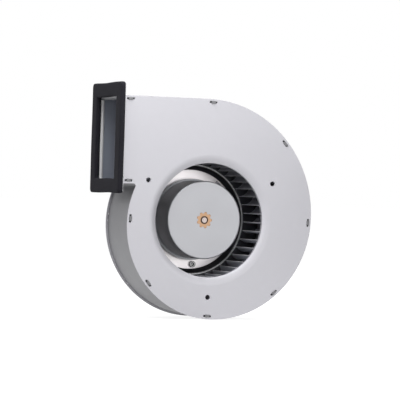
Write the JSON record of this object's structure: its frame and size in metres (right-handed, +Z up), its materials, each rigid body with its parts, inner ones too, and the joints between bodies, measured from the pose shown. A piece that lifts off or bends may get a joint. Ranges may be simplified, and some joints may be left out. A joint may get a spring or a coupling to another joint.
{
  "type": "centrifugal blower fan",
  "caption": "Single-inlet sheet-steel scroll blower with a forward-curved impeller round an external-rotor DC motor and a foam-faced side outlet.",
  "frame": {"origin": "impeller axis at the outer face of the inlet plate, centre of the inlet mounting holes", "axes": "+Y along the axis into the housing, +Z up, +X right seen from the inlet; the outlet faces -X"},
  "size_m": [0.2127, 0.0896, 0.2336],
  "materials": {
    "galvanised_sheet": "galvanised, matt",
    "wall_sheet": "galvanised, matt",
    "frame_sheet": "bright zinc",
    "black_foam": "soft closed-cell foam",
    "cast_aluminium": "as cast",
    "screw_steel": "zinc plated",
    "laminated_steel": "stacked laminations",
    "insulator_plastic": "moulded",
    "enamelled_copper": "enamelled copper wire",
    "board_laminate": "solder mask",
    "component_black": "moulded packages",
    "cover_sheet": "powder coated",
    "grommet_rubber": "matt",
    "bearing_steel": "ground",
    "spring_steel": "bright",
    "blade_steel": "galvanised, in shade",
    "bright_zinc": "bright zinc",
    "rotor_aluminium": "silver grey coat",
    "magnet": "bonded ferrite",
    "hub_brass": "machined",
    "ground_steel": "ground",
    "cage_brass": "pressed",
    "ball_steel": "polished"
  },
  "bodies": {
    "housing": {"front_plate": "galvanised_sheet", "back_plate": "galvanised_sheet", "scroll_wall": "wall_sheet", "outlet_frame": "frame_sheet", "outlet_gasket": "black_foam", "motor_flange": "cast_aluminium", "motor_flange_screws": "screw_steel", "stator_core": "laminated_steel", "stator_insulator": "insulator_plastic", "stator_windings": "enamelled_copper", "circuit_board": "board_laminate", "board_components": "component_black", "rear_cover": "cover_sheet", "rear_cover_screws": "screw_steel", "cable_grommet": "grommet_rubber", "front_bearing_outer_ring": "bearing_steel", "rear_bearing_outer_ring": "bearing_steel", "preload_spring": "spring_steel"},
    "rotor": {"impeller_blades": "blade_steel", "impeller_front_ring": "blade_steel", "impeller_back_disc": "bright_zinc", "impeller_screws": "screw_steel", "balance_clip": "spring_steel", "rotor_can": "rotor_aluminium", "rotor_magnets": "magnet", "rotor_hub": "hub_brass", "shaft": "ground_steel", "front_bearing_inner_ring": "bearing_steel", "rear_bearing_inner_ring": "bearing_steel", "shaft_circlip": "spring_steel"},
    "front_ball_set": {"front_bearing_cage": "cage_brass", "front_bearing_balls": "ball_steel"},
    "rear_ball_set": {"rear_bearing_cage": "cage_brass", "rear_bearing_balls": "ball_steel"}
  },
  "joints": [
    {"name": "rotor_spin", "type": "hinge", "parent": "housing", "child": "rotor", "pos_m": [0, 0, 0], "axis": [0, -1, 0], "continuous": true},
    {"name": "front_ball_roll", "type": "hinge", "parent": "housing", "child": "front_ball_set", "pos_m": [0, 0, 0], "axis": [0, -1, 0], "continuous": true},
    {"name": "rear_ball_roll", "type": "hinge", "parent": "housing", "child": "rear_ball_set", "pos_m": [0, 0, 0], "axis": [0, -1, 0], "continuous": true}
  ],
  "couplings": [
    {"joint": "front_ball_roll", "follows": "rotor_spin", "ratio": 0.36},
    {"joint": "rear_ball_roll", "follows": "rotor_spin", "ratio": 0.36}
  ]
}
